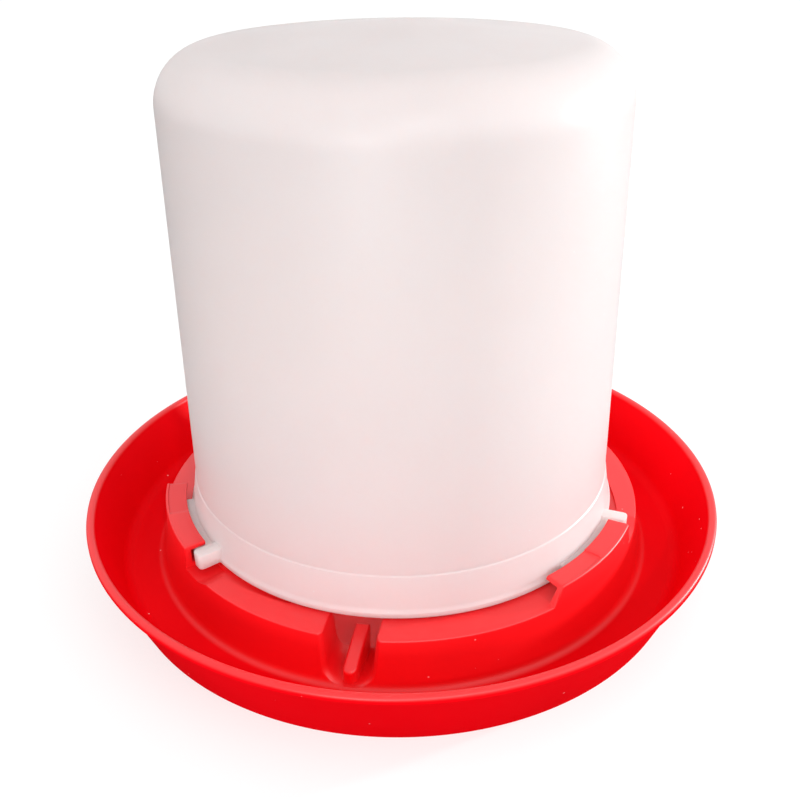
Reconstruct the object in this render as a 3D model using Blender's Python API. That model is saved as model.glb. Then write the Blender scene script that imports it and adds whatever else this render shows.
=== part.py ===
"""Poultry waterer: a moulded drinking base and the water jar that twists into it.

The base is one moulding: an open drinking trough between an outer wall with a rolled rim
and a raised ring. Three bayonet covers stand on the ring, and one notch lets the water out
of the jar into the trough. The jar is one translucent moulding, open below, with three lugs
and stop fingers round its skirt. It drops onto the ring beside the covers and turns
clockwise, seen from above, until its lugs lie under them.

Units are metres, +Z is up, the origin is at the centre of the foot, and the notch faces -Y.
Run with: blender --background --python part.py
"""
from math import atan2, cos, degrees, hypot, radians, sin, tan

import bmesh
import bpy
from mathutils import Matrix, Vector

# Turned surfaces
SEGMENTS = 108
FILLET_STEPS = 3
JAR_FILLET_STEPS = 4
SMOOTHING_ANGLE = 30.0
MERGE_DISTANCE = 1e-6

# Outer wall and rolled rim of the base
RIM_FLARE = 0.0134
RIM_TOP = 0.0326
RIM_BEAD_REACH = 0.0020
RIM_BEAD_DEPTH = 0.0032
RIM_ROUNDING = 0.0014
BASE_WALL = 0.0024

# Drinking trough
TROUGH_WIDTH = 0.0171
TROUGH_FLOOR = 0.0060
TROUGH_OUTER_FILLET = 0.0060
TROUGH_INNER_FILLET = 0.0035

# Raised ring that carries the jar
RING_TOP = 0.0270
RING_LEDGE = 0.0114
RING_SEAT = 0.0045
RING_DRAFT = 8.5
RING_LAND = 0.0042

# Platform inside the ring
PLATFORM_RISE = 0.0095
PLATFORM_FILLET = 0.0040

# Bayonet covers on the ring
COVER_COUNT = 3
FIRST_COVER_ANGLE = 330.0
COVER_SPAN = 29.5
COVER_RISE = 0.0080
COVER_PLATE = 0.0020
COVER_WALL = 0.0026
COVER_LEAN = 0.0004
COVER_FOOT_DROP = 0.0010
COVER_JAR_GAP = 0.0020
COVER_ROUNDING = 0.0008
PANEL_DEPTH = 0.0005
PANEL_BORDER = 0.0012
PANEL_SHARE = 0.5
PANEL_OVERRUN = 1.0
DISC_OVERLAP = 0.0005

# Entry beside each cover: a slot, a ramp and a strip that fades into the ring's top
SLOT_ANGLE = 6.0
SLOT_DEPTH = 0.0020
RAMP_ANGLE = 3.5
STRIP_ANGLE = 29.0
STRIP_DEPTH = 0.0012
STRIP_WIDTH = 0.0050

# Water notch through the ring, and the rib that stands in it
NOTCH_ANGLE = 270.0
NOTCH_TOP_WIDTH = 0.0205
NOTCH_FLOOR_WIDTH = 0.0165
NOTCH_SILL = 0.0008
NOTCH_FILLET = 0.0065
RIB_WIDTH = 0.0052
RIB_OFFSET = 0.0016
RIB_INNER_DROP = 0.0055
RIB_OUTER_DROP = 0.0145
RIB_REACH = 0.0012
RIB_END_SHARE = 0.95

# Water jar
JAR_RADIUS = 0.0950
JAR_HEIGHT = 0.2000
JAR_WALL = 0.0020
JAR_LIP_WIDTH = 0.0030
JAR_LIP_DEPTH = 0.0026
JAR_LIP_ROUNDING = 0.0011
SKIRT_NECK_INSET = 0.0009
SKIRT_TOP_INSET = 0.0030
SKIRT_HEIGHT = 0.0180
SKIRT_STEP = 0.0007
BODY_TAPER = 0.0032
SHOULDER_ROUNDING = 0.0200
DOME_RISE = 0.0080

# Lugs and stop fingers on the jar
LUG_SETBACK = 7.5
LUG_LIFT = 0.0003
LUG_TOP_GAP = 0.0004
LUG_WALL_GAP = 0.0026
LUG_ROOT_DEPTH = 0.0022
FINGER_GAP_ANGLE = 1.2
FINGER_ANGLE = 3.5
FINGER_REACH = 0.0030
FINGER_TOP_DROP = 0.0006
FINGER_LIFT = 0.00015
FINGER_ROUNDING = 0.0018

# Gap between the jar and the ring that it rests on, and how far a cutter overshoots
SEAT_GAP = 0.0003
OVERSHOOT = 0.0040

# Colours and finishes
RED = (0.76, 0.002, 0.008)
RED_ROUGHNESS = 0.32
MILKY = (0.90, 0.84, 0.81)
MILKY_ROUGHNESS = 0.38
MILKY_TRANSMISSION = 0.35

# Sizes worked out from the ones above
COVER_TOP = RING_TOP + COVER_RISE
COVER_CEILING = COVER_TOP - COVER_PLATE
COVER_INNER_RADIUS = JAR_RADIUS + COVER_JAR_GAP
RING_SLOPE = tan(radians(RING_DRAFT))
RING_RADIUS = JAR_RADIUS + RING_LEDGE
RING_BORE_RADIUS = JAR_RADIUS - RING_SEAT
COVER_RADIUS = RING_RADIUS - COVER_LEAN
RING_FOOT_RADIUS = RING_RADIUS + RING_SLOPE * (RING_TOP - TROUGH_FLOOR)
FOOT_RADIUS = RING_FOOT_RADIUS + TROUGH_WIDTH
RIM_RADIUS = FOOT_RADIUS + RIM_FLARE
SKIRT_NECK_RADIUS = JAR_RADIUS - SKIRT_NECK_INSET
SKIRT_TOP_RADIUS = JAR_RADIUS - SKIRT_TOP_INSET
BODY_TOP_RADIUS = SKIRT_TOP_RADIUS - BODY_TAPER
TUNNEL_RADIUS = COVER_RADIUS - COVER_WALL
COVER_PITCH = 360.0 / COVER_COUNT
COVER_ANGLES = [FIRST_COVER_ANGLE + COVER_PITCH * index for index in range(COVER_COUNT)]
UNDERSIDE = TROUGH_FLOOR - BASE_WALL
RIM_NECK = RIM_TOP - RIM_BEAD_DEPTH
WALL_SLOPE = (RIM_RADIUS - RIM_BEAD_REACH - FOOT_RADIUS) / RIM_NECK
NOTCH_FLOOR = TROUGH_FLOOR + NOTCH_SILL
JAR_BOTTOM = RING_TOP + SEAT_GAP
JAR_TOP = JAR_BOTTOM + JAR_HEIGHT
STEP_HEIGHT = JAR_BOTTOM + SKIRT_HEIGHT
LUG_BOTTOM = JAR_BOTTOM + LUG_LIFT
LUG_TOP = COVER_CEILING - LUG_TOP_GAP
LUG_RADIUS = TUNNEL_RADIUS - LUG_WALL_GAP
LUG_ROOT = JAR_RADIUS - LUG_ROOT_DEPTH


def wall_radius(height):
    """Radius of the base's sloping outer wall at a height."""
    return FOOT_RADIUS + WALL_SLOPE * height


def rounded(corners, steps=FILLET_STEPS):
    """Turn corners of (x, y, radius) into outline points, with an arc at each rounded corner."""
    points = []
    count = len(corners)
    for index, (x, y, radius) in enumerate(corners):
        if radius <= 0.0:
            points.append((x, y))
            continue
        here = Vector((x, y))
        before = (Vector(corners[index - 1][:2]) - here).normalized()
        after = (Vector(corners[(index + 1) % count][:2]) - here).normalized()
        half = before.angle(after) / 2.0
        centre = here + (before + after).normalized() * (radius / sin(half))
        first = here + before * (radius / tan(half)) - centre
        last = here + after * (radius / tan(half)) - centre
        sweep = first.angle_signed(last)
        for step in range(steps + 1):
            turn = -sweep * step / steps
            points.append((centre.x + first.x * cos(turn) - first.y * sin(turn),
                           centre.y + first.x * sin(turn) + first.y * cos(turn)))
    return points


def around(radius, angle):
    """Point in plan at a radius and an angle in degrees."""
    return (radius * cos(radians(angle)), radius * sin(radians(angle)))


def arc(radius, start, end, step=360.0 / SEGMENTS):
    """Points in plan along an arc, about one facet apart."""
    count = max(1, round(abs(end - start) / step))
    return [around(radius, start + (end - start) * index / count) for index in range(count + 1)]


def add_object(name, mesh_builder, material=None):
    """Make an object from a bmesh, with its faces pointing outwards."""
    bmesh.ops.remove_doubles(mesh_builder, verts=mesh_builder.verts, dist=MERGE_DISTANCE)
    bmesh.ops.recalc_face_normals(mesh_builder, faces=mesh_builder.faces)
    mesh = bpy.data.meshes.new(name)
    mesh_builder.to_mesh(mesh)
    mesh_builder.free()
    made = bpy.data.objects.new(name, mesh)
    bpy.context.collection.objects.link(made)
    if material is not None:
        mesh.materials.append(material)
        mesh.shade_smooth()
        mesh.set_sharp_from_angle(angle=radians(SMOOTHING_ANGLE))
    return made


def turned(outline, start=0.0, sweep=360.0):
    """Spin an outline of (radius, height) points about Z, all round or through part of a turn."""
    shape = bmesh.new()
    cosine, sine = around(1.0, start)
    verts = [shape.verts.new((r * cosine, r * sine, z)) for r, z in outline]
    whole = sweep >= 360.0
    steps = max(2, round(SEGMENTS * sweep / 360.0))
    if whole:
        geometry = [shape.edges.new((verts[i - 1], verts[i])) for i in range(len(verts))]
        axis_edges = [e for e in geometry if all(hypot(v.co.x, v.co.y) < MERGE_DISTANCE for v in e.verts)]
        geometry = [e for e in geometry if e not in axis_edges]
        for edge in axis_edges:
            shape.edges.remove(edge)
    else:
        geometry = [shape.faces.new(verts)]
    bmesh.ops.spin(shape, geom=verts + geometry, cent=(0, 0, 0), axis=(0, 0, 1),
                   angle=radians(sweep), steps=steps, use_merge=whole)
    if not whole:
        bmesh.ops.holes_fill(shape, edges=[e for e in shape.edges if e.is_boundary], sides=0)
    return shape


def add_prism(shape, plan, low, high):
    """Add an upright prism to a bmesh, over a plan outline and between two heights."""
    face = shape.faces.new([shape.verts.new((x, y, low)) for x, y in plan])
    raised = bmesh.ops.extrude_face_region(shape, geom=[face])
    tops = [item for item in raised["geom"] if isinstance(item, bmesh.types.BMVert)]
    bmesh.ops.translate(shape, verts=tops, vec=(0, 0, high - low))


def turn_to_notch(shape):
    """Turn a shape that was drawn along +X to the side that the notch faces."""
    bmesh.ops.rotate(shape, verts=shape.verts, cent=(0, 0, 0),
                     matrix=Matrix.Rotation(radians(NOTCH_ANGLE), 3, "Z"))


def tool(name, shape):
    """Keep a bmesh as a hidden cutter or filler."""
    made = add_object(name, shape)
    made.hide_render = True
    made.display_type = "WIRE"
    return made


def combine(target, other, operation):
    """Apply a tool to a piece with a live Boolean."""
    modifier = target.modifiers.new(other.name, "BOOLEAN")
    modifier.operation = operation
    modifier.solver = "EXACT"
    modifier.object = other


def plastic(name, colour, roughness, transmission=0.0):
    """Principled material for one moulding."""
    material = bpy.data.materials.new(name)
    material.use_nodes = True
    shader = material.node_tree.nodes["Principled BSDF"]
    shader.inputs["Base Color"].default_value = (*colour, 1.0)
    shader.inputs["Roughness"].default_value = roughness
    shader.inputs["Metallic"].default_value = 0.0
    shader.inputs["Transmission Weight"].default_value = transmission
    return material


def base_outline():
    """Half section of the base, with its ring still solid and as high as the covers."""
    neck = wall_radius(RIM_NECK)
    return rounded([
        (0.0, TROUGH_FLOOR + PLATFORM_RISE, 0.0),
        (RING_BORE_RADIUS, TROUGH_FLOOR, PLATFORM_FILLET),
        (RING_BORE_RADIUS, COVER_TOP, 0.0),
        (COVER_RADIUS, COVER_TOP, COVER_ROUNDING),
        (RING_RADIUS + RING_SLOPE * COVER_FOOT_DROP, RING_TOP - COVER_FOOT_DROP, 0.0),
        (RING_FOOT_RADIUS, TROUGH_FLOOR, TROUGH_INNER_FILLET),
        (wall_radius(TROUGH_FLOOR) - BASE_WALL, TROUGH_FLOOR, TROUGH_OUTER_FILLET),
        (wall_radius(RIM_TOP) - BASE_WALL, RIM_TOP, RIM_ROUNDING),
        (RIM_RADIUS, RIM_TOP, RIM_ROUNDING),
        (RIM_RADIUS, RIM_NECK, RIM_ROUNDING / 2.0),
        (neck, RIM_NECK, 0.0),
        (FOOT_RADIUS, 0.0, 0.0),
        (FOOT_RADIUS - BASE_WALL, 0.0, 0.0),
        (wall_radius(UNDERSIDE) - BASE_WALL, UNDERSIDE, 0.0),
        (RING_BORE_RADIUS, UNDERSIDE, 0.0),
        (0.0, UNDERSIDE + PLATFORM_RISE, 0.0),
    ])


def ring_hollow():
    """Space under the ring, open below, with solid material left round the notch."""
    inner = RING_BORE_RADIUS + BASE_WALL
    top = RING_TOP - RING_LAND
    outer_top = RING_RADIUS + RING_SLOPE * RING_LAND - BASE_WALL
    outer_low = outer_top + RING_SLOPE * (top + OVERSHOOT)
    half_notch = degrees(atan2(NOTCH_TOP_WIDTH / 2.0 + BASE_WALL, RING_BORE_RADIUS))
    outline = [(inner, top), (outer_top, top), (outer_low, -OVERSHOOT), (inner, -OVERSHOOT)]
    return tool("ring_hollow", turned(outline, NOTCH_ANGLE + half_notch, 360.0 - 2.0 * half_notch))


def cover_disc(name, gap_radius, cover_radius, low, high):
    """Disc that reaches one radius between the covers and a smaller one under or inside them."""
    plan = []
    for angle in COVER_ANGLES:
        plan += arc(cover_radius, angle - COVER_SPAN / 2.0, angle + COVER_SPAN / 2.0)
        plan += arc(gap_radius, angle + COVER_SPAN / 2.0, angle + COVER_PITCH - COVER_SPAN / 2.0)
    shape = bmesh.new()
    add_prism(shape, plan, low, high)
    return tool(name, shape)


def cover_panels():
    """Shallow panels sunk into the clockwise half of each cover's top."""
    shape = bmesh.new()
    for angle in COVER_ANGLES:
        start = angle - COVER_SPAN / 2.0
        end = start + COVER_SPAN * PANEL_SHARE
        plan = arc(COVER_RADIUS - PANEL_BORDER, start - PANEL_OVERRUN, end)
        plan += arc(COVER_INNER_RADIUS - PANEL_BORDER, end, start - PANEL_OVERRUN)
        add_prism(shape, plan, COVER_TOP - PANEL_DEPTH, COVER_TOP + OVERSHOOT)
    return tool("cover_panels", shape)


def entry_slots():
    """Slot and ramp across the ring's top at the counter-clockwise end of each cover."""
    shape = bmesh.new()
    inner = JAR_RADIUS
    outer = RING_RADIUS + OVERSHOOT
    for angle in COVER_ANGLES:
        start = angle + COVER_SPAN / 2.0
        floor_end = start + SLOT_ANGLE
        ramp_end = floor_end + RAMP_ANGLE
        low = RING_TOP - SLOT_DEPTH
        high = RING_TOP + OVERSHOOT
        over = ramp_end + RAMP_ANGLE * OVERSHOOT / SLOT_DEPTH
        section = [(start, low), (floor_end, low), (over, high), (start, high)]
        rings = [[shape.verts.new((*around(radius, turn), height)) for turn, height in section]
                 for radius in (inner, outer)]
        shape.faces.new(rings[0])
        shape.faces.new(rings[1])
        for index in range(len(section)):
            shape.faces.new((rings[0][index - 1], rings[0][index],
                             rings[1][index], rings[1][index - 1]))
    bmesh.ops.triangulate(shape, faces=shape.faces)
    return tool("entry_slots", shape)


def entry_strips():
    """Low strip beside the jar's lip that narrows away from each slot."""
    shape = bmesh.new()
    for angle in COVER_ANGLES:
        start = angle + COVER_SPAN / 2.0 + SLOT_ANGLE / 2.0
        end = angle + COVER_SPAN / 2.0 + STRIP_ANGLE
        inner = JAR_RADIUS - JAR_LIP_WIDTH / 2.0
        steps = round((end - start) / (360.0 / SEGMENTS))
        outer_edge = [around(JAR_RADIUS + STRIP_WIDTH * (1.0 - index / steps),
                             start + (end - start) * index / steps) for index in range(steps + 1)]
        add_prism(shape, outer_edge + arc(inner, end, start),
                  RING_TOP - STRIP_DEPTH, RING_TOP + OVERSHOOT)
    return tool("entry_strips", shape)


def notch_channel():
    """Channel through the ring with sloping side walls and rounded bottom corners."""
    top = COVER_TOP + OVERSHOOT
    flare = (NOTCH_TOP_WIDTH - NOTCH_FLOOR_WIDTH) / 2.0 / (RING_TOP - NOTCH_FLOOR)
    half_floor = NOTCH_FLOOR_WIDTH / 2.0
    half_top = half_floor + flare * (top - NOTCH_FLOOR)
    section = rounded([(-half_floor, NOTCH_FLOOR, NOTCH_FILLET),
                       (half_floor, NOTCH_FLOOR, NOTCH_FILLET),
                       (half_top, top, 0.0),
                       (-half_top, top, 0.0)])
    shape = bmesh.new()
    near = RING_FOOT_RADIUS + TROUGH_INNER_FILLET
    far = RING_BORE_RADIUS - OVERSHOOT
    face = shape.faces.new([shape.verts.new((near, side, z)) for side, z in section])
    pushed = bmesh.ops.extrude_face_region(shape, geom=[face])
    backs = [item for item in pushed["geom"] if isinstance(item, bmesh.types.BMVert)]
    bmesh.ops.translate(shape, verts=backs, vec=(far - near, 0, 0))
    turn_to_notch(shape)
    return tool("notch_channel", shape)


def notch_rib():
    """Sloping rib that stands in the notch, with a rounded outer end."""
    inner = RING_BORE_RADIUS - BASE_WALL / 2.0
    outer = RING_FOOT_RADIUS + RIB_REACH
    half = RIB_WIDTH / 2.0
    plan = rounded([(inner, RIB_OFFSET - half, 0.0),
                    (outer, RIB_OFFSET - half, half * RIB_END_SHARE),
                    (outer, RIB_OFFSET + half, half * RIB_END_SHARE),
                    (inner, RIB_OFFSET + half, 0.0)])
    shape = bmesh.new()
    add_prism(shape, plan, TROUGH_FLOOR - BASE_WALL / 2.0, RING_TOP)
    fall = (RIB_OUTER_DROP - RIB_INNER_DROP) / (outer - inner)
    for vert in shape.verts:
        if vert.co.z > TROUGH_FLOOR:
            vert.co.z = RING_TOP - RIB_INNER_DROP - fall * (vert.co.x - inner)
    turn_to_notch(shape)
    return tool("notch_rib", shape)


def drinking_base(material):
    """Trough, rim, ring, covers and notch: one moulding."""
    base = add_object("drinking_base", turned(base_outline()), material)
    beyond = RING_RADIUS + OVERSHOOT
    low_disc = cover_disc("ring_top_disc", beyond, TUNNEL_RADIUS, RING_TOP, COVER_CEILING)
    high_disc = cover_disc("cover_edge_disc", beyond, COVER_INNER_RADIUS,
                           COVER_CEILING - DISC_OVERLAP, COVER_TOP + OVERSHOOT)
    for cutter in (low_disc, high_disc, ring_hollow(), cover_panels(), entry_slots(),
                   entry_strips(), notch_channel()):
        combine(base, cutter, "DIFFERENCE")
    combine(base, notch_rib(), "UNION")
    return base


def jar_outline():
    """Half section of the jar: domed top, tapered body, step, flared skirt and rounded lip."""
    lip_top = JAR_BOTTOM + JAR_LIP_DEPTH
    inner_step = STEP_HEIGHT - SKIRT_STEP
    return rounded([
        (0.0, JAR_TOP, 0.0),
        (BODY_TOP_RADIUS, JAR_TOP - DOME_RISE, SHOULDER_ROUNDING),
        (SKIRT_TOP_RADIUS - SKIRT_STEP, STEP_HEIGHT, 0.0),
        (SKIRT_TOP_RADIUS, STEP_HEIGHT - SKIRT_STEP, 0.0),
        (SKIRT_NECK_RADIUS, lip_top + JAR_LIP_DEPTH / 2.0, 0.0),
        (JAR_RADIUS, lip_top, JAR_LIP_ROUNDING / 2.0),
        (JAR_RADIUS, JAR_BOTTOM, JAR_LIP_ROUNDING),
        (JAR_RADIUS - JAR_LIP_WIDTH, JAR_BOTTOM, 0.0),
        (SKIRT_NECK_RADIUS - JAR_WALL, lip_top + JAR_LIP_DEPTH / 2.0, 0.0),
        (SKIRT_TOP_RADIUS - JAR_WALL, inner_step - SKIRT_STEP, 0.0),
        (SKIRT_TOP_RADIUS - SKIRT_STEP - JAR_WALL, inner_step, 0.0),
        (BODY_TOP_RADIUS - JAR_WALL, JAR_TOP - DOME_RISE - JAR_WALL,
         SHOULDER_ROUNDING - JAR_WALL),
        (0.0, JAR_TOP - JAR_WALL, 0.0),
    ], steps=JAR_FILLET_STEPS)


def jar_lugs():
    """Lugs that lie under the covers, from near one end to the stop finger."""
    shape = bmesh.new()
    for angle in COVER_ANGLES:
        start = angle - COVER_SPAN / 2.0 + LUG_SETBACK
        end = angle + COVER_SPAN / 2.0 + FINGER_GAP_ANGLE + FINGER_ANGLE / 2.0
        plan = arc(LUG_RADIUS, start, end) + arc(LUG_ROOT, end, start)
        add_prism(shape, plan, LUG_BOTTOM, LUG_TOP)
    return tool("jar_lugs", shape)


def jar_fingers():
    """Upright stop finger at the counter-clockwise end of each lug."""
    shape = bmesh.new()
    for angle in COVER_ANGLES:
        start = angle + COVER_SPAN / 2.0 + FINGER_GAP_ANGLE
        end = start + FINGER_ANGLE
        tip = LUG_RADIUS + FINGER_REACH
        plan = rounded([(*around(LUG_ROOT, start), 0.0), (*around(tip, start), FINGER_ROUNDING),
                        (*around(tip, end), FINGER_ROUNDING), (*around(LUG_ROOT, end), 0.0)])
        add_prism(shape, plan, LUG_BOTTOM + FINGER_LIFT, COVER_TOP - FINGER_TOP_DROP)
    return tool("jar_fingers", shape)


def water_jar(material):
    """Translucent jar with its lugs and fingers: one moulding."""
    jar = add_object("water_jar", turned(jar_outline()), material)
    for filler in (jar_lugs(), jar_fingers()):
        combine(jar, filler, "UNION")
    return jar


def clear_scene():
    """Remove every object that the file starts with."""
    for existing in list(bpy.data.objects):
        bpy.data.objects.remove(existing, do_unlink=True)


def main():
    """Build the waterer: the base, and the jar hung on an empty on the axis it twists about."""
    clear_scene()
    red = plastic("red_plastic", RED, RED_ROUGHNESS)
    milky = plastic("milky_plastic", MILKY, MILKY_ROUGHNESS, MILKY_TRANSMISSION)
    drinking_base(red)
    twist_axis = bpy.data.objects.new("jar_twist_axis", None)
    bpy.context.collection.objects.link(twist_axis)
    water_jar(milky).parent = twist_axis


main()
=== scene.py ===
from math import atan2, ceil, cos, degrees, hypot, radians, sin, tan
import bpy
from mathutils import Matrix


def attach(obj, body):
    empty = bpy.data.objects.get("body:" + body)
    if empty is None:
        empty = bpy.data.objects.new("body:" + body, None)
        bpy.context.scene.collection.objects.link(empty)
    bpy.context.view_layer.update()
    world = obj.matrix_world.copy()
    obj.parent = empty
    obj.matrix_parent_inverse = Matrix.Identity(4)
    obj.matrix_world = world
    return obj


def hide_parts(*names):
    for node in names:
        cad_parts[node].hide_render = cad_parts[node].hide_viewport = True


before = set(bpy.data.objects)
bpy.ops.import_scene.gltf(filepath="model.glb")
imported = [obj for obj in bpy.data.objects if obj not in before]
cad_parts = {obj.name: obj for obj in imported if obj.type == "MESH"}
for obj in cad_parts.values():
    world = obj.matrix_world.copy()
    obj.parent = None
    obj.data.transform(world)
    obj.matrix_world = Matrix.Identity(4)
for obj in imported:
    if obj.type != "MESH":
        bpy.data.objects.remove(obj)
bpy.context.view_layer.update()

# Finished look of a poultry waterer: a moulded drinking base and the translucent jar on it.
# Units are metres, +Z is up, the origin is at the centre of the foot, and the notch faces -Y.
from types import SimpleNamespace

import bmesh
import bpy
from mathutils import Matrix, Vector

bl_info = {
    "name": "Poultry Waterer",
    "version": (1, 0, 0),
    "blender": (4, 5, 0),
    "location": "View3D > Sidebar > Waterer",
    "description": "Makes the moulded base, the jar and the studio of a poultry waterer",
    "category": "Add Mesh",
}

# Fineness of the surfaces
TURN_STEPS = 360
FILLET_FACET = 0.0008
LEAST_FILLET_STEPS = 3
MOST_FILLET_STEPS = 18
FLARE_STEPS = 6
EDGE_STEPS = 2
RIB_STEPS = 5
MERGE = 1e-6
WELD = 1e-5
SMOOTHING = radians(32)

# Directions round the axis, in degrees, and how far the cutters stand out past what they cut
COVER_TURNS = (0.0, 120.0, 240.0)
NOTCH_DIRECTION = 270.0
SLACK = 1.0
LEAN_FADE = radians(8)
OVERSHOOT = 0.004
RIB_END_SHARE = 0.95

# Grain of the two plastics: how polish varies, the scales of drift and skin, and the share of specks
RED_GRAIN = {"polish_range": 0.08, "drift": 18.0, "skin": 1400.0, "bump": 0.10, "speck_share": 0.16}
MILKY_GRAIN = {"polish_range": 0.10, "drift": 14.0, "skin": 900.0, "bump": 0.12, "speck_share": 0.10}
SKIN_DEPTH = 0.0001


def length(name, description, default):
    """Property for a length in metres."""
    return bpy.props.FloatProperty(name=name, description=description, default=default,
                                   unit="LENGTH", precision=5)


def angle(name, description, default):
    """Property for an angle, with its default given in degrees."""
    return bpy.props.FloatProperty(name=name, description=description, default=radians(default),
                                   subtype="ANGLE", unit="ROTATION")


def share(name, description, default):
    """Property for a share from 0 to 1."""
    return bpy.props.FloatProperty(name=name, description=description, default=default,
                                   min=0.0, max=1.0, subtype="FACTOR")


def power(name, description, default):
    """Property for a light's power in watts."""
    return bpy.props.FloatProperty(name=name, description=description, default=default,
                                   min=0.0, unit="POWER")


def stand_off(name, description, default):
    """Property for a light's place, measured from the point that it faces."""
    return bpy.props.FloatVectorProperty(name=name, description=description, default=default,
                                         size=3, subtype="TRANSLATION", unit="LENGTH")


def colour(name, description, default):
    """Property for a linear colour."""
    return bpy.props.FloatVectorProperty(name=name, description=description, default=default,
                                         size=3, min=0.0, max=1.0, subtype="COLOR")


class WATERER_PG_base(bpy.types.PropertyGroup):
    """Sizes and colour of the drinking base"""
    rim_flare: length("Rim flare", "How far the rim stands out past the foot", 0.0134)
    rim_top: length("Rim top", "Height of the rim", 0.0326)
    rim_bead_reach: length("Bead reach", "How far the rolled bead stands out from the wall", 0.0020)
    rim_bead_depth: length("Bead depth", "Height of the rolled bead", 0.0032)
    rim_rounding: length("Rim rounding", "Radius of the rim's edges", 0.0014)
    wall: length("Wall", "Thickness of the outer wall", 0.0024)
    trough_width: length("Trough width", "Width of the trough at its floor", 0.0171)
    trough_floor: length("Trough floor", "Height of the trough's floor", 0.0060)
    outer_fillet: length("Outer fillet", "Radius between floor and outer wall", 0.0060)
    inner_fillet: length("Inner fillet", "Radius between floor and ring", 0.0035)
    ring_top: length("Ring top", "Height of the ring that carries the jar", 0.0270)
    ring_ledge: length("Ring ledge", "Width of the ring outside the jar", 0.0114)
    ring_seat: length("Ring seat", "Width of the ring under the jar", 0.0045)
    ring_draft: angle("Ring draft", "Slope of the ring's outer wall", 8.5)
    ring_land: length("Ring land", "Thickness of the ring's top", 0.0042)
    ring_edge: length("Ring edge", "Radius of the ring's top edges", 0.0006)
    platform_rise: length("Platform rise", "Rise of the platform inside the ring", 0.0095)
    platform_fillet: length("Platform fillet", "Radius between platform and ring", 0.0040)
    cover_start: angle("First cover", "Direction of the first bayonet cover", 330.0)
    cover_span: angle("Cover span", "Length of each cover round the ring", 29.5)
    cover_rise: length("Cover rise", "Height of a cover over the ring", 0.0080)
    cover_plate: length("Cover plate", "Thickness of a cover's top", 0.0020)
    cover_wall: length("Cover wall", "Thickness of a cover's outer wall", 0.0026)
    cover_lean: length("Cover lean", "How far a cover leans inwards", 0.0004)
    cover_foot_drop: length("Cover foot", "Where the cover's lean meets the ring's draft", 0.0010)
    cover_jar_gap: length("Cover gap", "Gap between a cover and the jar", 0.0020)
    cover_end_lean: angle("Cover end lean", "How far the top of a cover's open end is set back", 1.3)
    cover_rounding: length("Cover rounding", "Radius of a cover's top edge", 0.0008)
    panel_depth: length("Panel depth", "Depth of the sunk panel on each cover", 0.0005)
    panel_border: length("Panel border", "Border round the sunk panel", 0.0012)
    panel_share: share("Panel share", "Share of a cover that the panel takes", 0.5)
    slot_angle: angle("Slot angle", "Length of the entry slot", 6.0)
    slot_depth: length("Slot depth", "Depth of the entry slot", 0.0020)
    ramp_angle: angle("Ramp angle", "Length of the ramp beside the slot", 3.5)
    strip_angle: angle("Strip angle", "How far the low strip runs from the cover", 29.0)
    strip_depth: length("Strip depth", "Depth of the low strip", 0.0012)
    strip_width: length("Strip width", "Width of the low strip at its wide end", 0.0050)
    notch_top_width: length("Notch top", "Width of the water notch at the ring's top", 0.0205)
    notch_floor_width: length("Notch floor", "Width of the water notch at its floor", 0.0165)
    notch_sill: length("Notch sill", "Height of the notch's floor over the trough", 0.0008)
    notch_fillet: length("Notch fillet", "Radius of the notch's bottom corners", 0.0078)
    notch_lip: length("Notch lip", "Radius of the notch's top edges", 0.0009)
    notch_flare: length("Notch flare", "Radius of the notch's outer edges", 0.0036)
    rib_width: length("Rib width", "Width of the rib in the notch", 0.0056)
    rib_offset: length("Rib offset", "How far the rib stands beside the notch's middle", 0.0016)
    rib_inner_drop: length("Rib inner drop", "Drop of the rib's inner end", 0.0068)
    rib_outer_drop: length("Rib outer drop", "Drop of the rib's outer end", 0.0150)
    rib_reach: length("Rib reach", "How far the rib stands out past the ring's foot", -0.0008)
    rib_lean: length("Rib lean", "How far the rib's outer end lies to the left", 0.0016)
    rib_rounding: length("Rib rounding", "Radius of the rib's top edges", 0.0011)
    edge: length("Edge rounding", "Radius of the moulded edges", 0.00035)


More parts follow.
